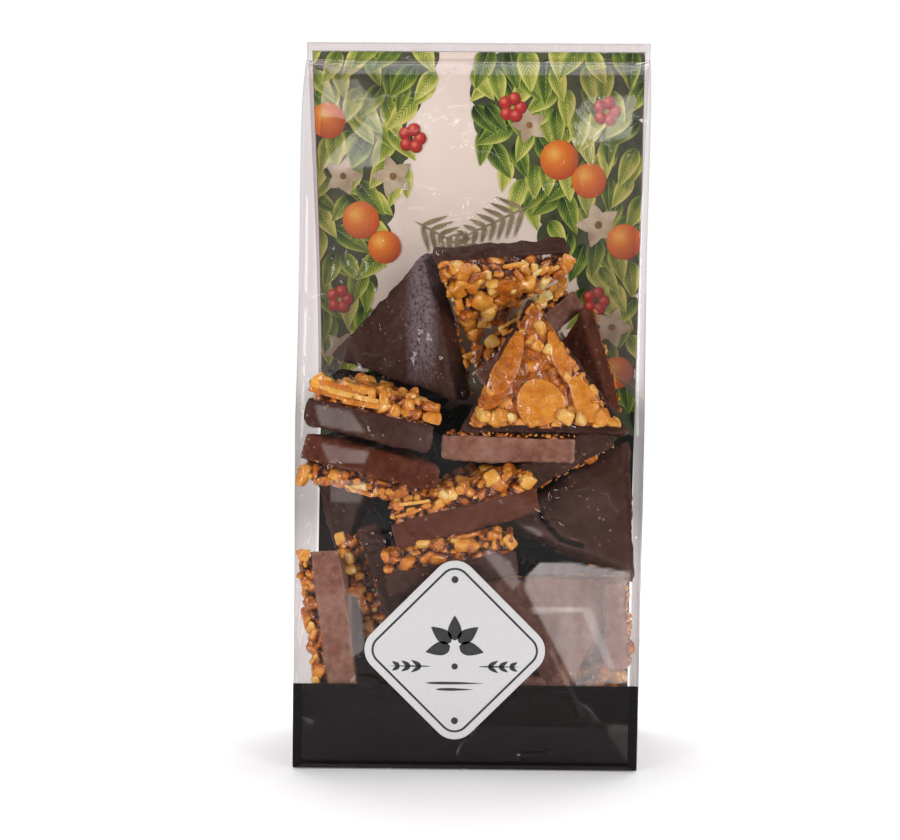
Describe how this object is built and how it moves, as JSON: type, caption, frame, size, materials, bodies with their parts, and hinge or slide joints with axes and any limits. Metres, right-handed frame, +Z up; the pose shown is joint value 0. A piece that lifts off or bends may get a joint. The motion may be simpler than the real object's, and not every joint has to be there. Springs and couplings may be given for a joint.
{
  "type": "pack of florentines",
  "caption": "Clear block-bottom film bag filled with triangular florentine biscuits, with a folded card back, floor and front flap and a diamond label.",
  "frame": {"origin": "middle of the base, on the surface that the pack stands on", "axes": "+Z up to the sealed top edge, +X to the right of the front, -Y out of the front face"},
  "size_m": [0.1018, 0.0529, 0.209],
  "materials": {
    "clear_film": "clear, glossy, lightly creased",
    "black_card": "satin coated board, printed on its inner side",
    "label_paper": "matt uncoated label",
    "dark_chocolate": "tempered, satin sheen",
    "milk_chocolate": "tempered, satin sheen",
    "nougatine": "chopped nuts and almond flakes in glossy caramel"
  },
  "bodies": {
    "root": {"bag": "clear_film", "card": "black_card", "label": "label_paper"}
  },
  "joints": []
}
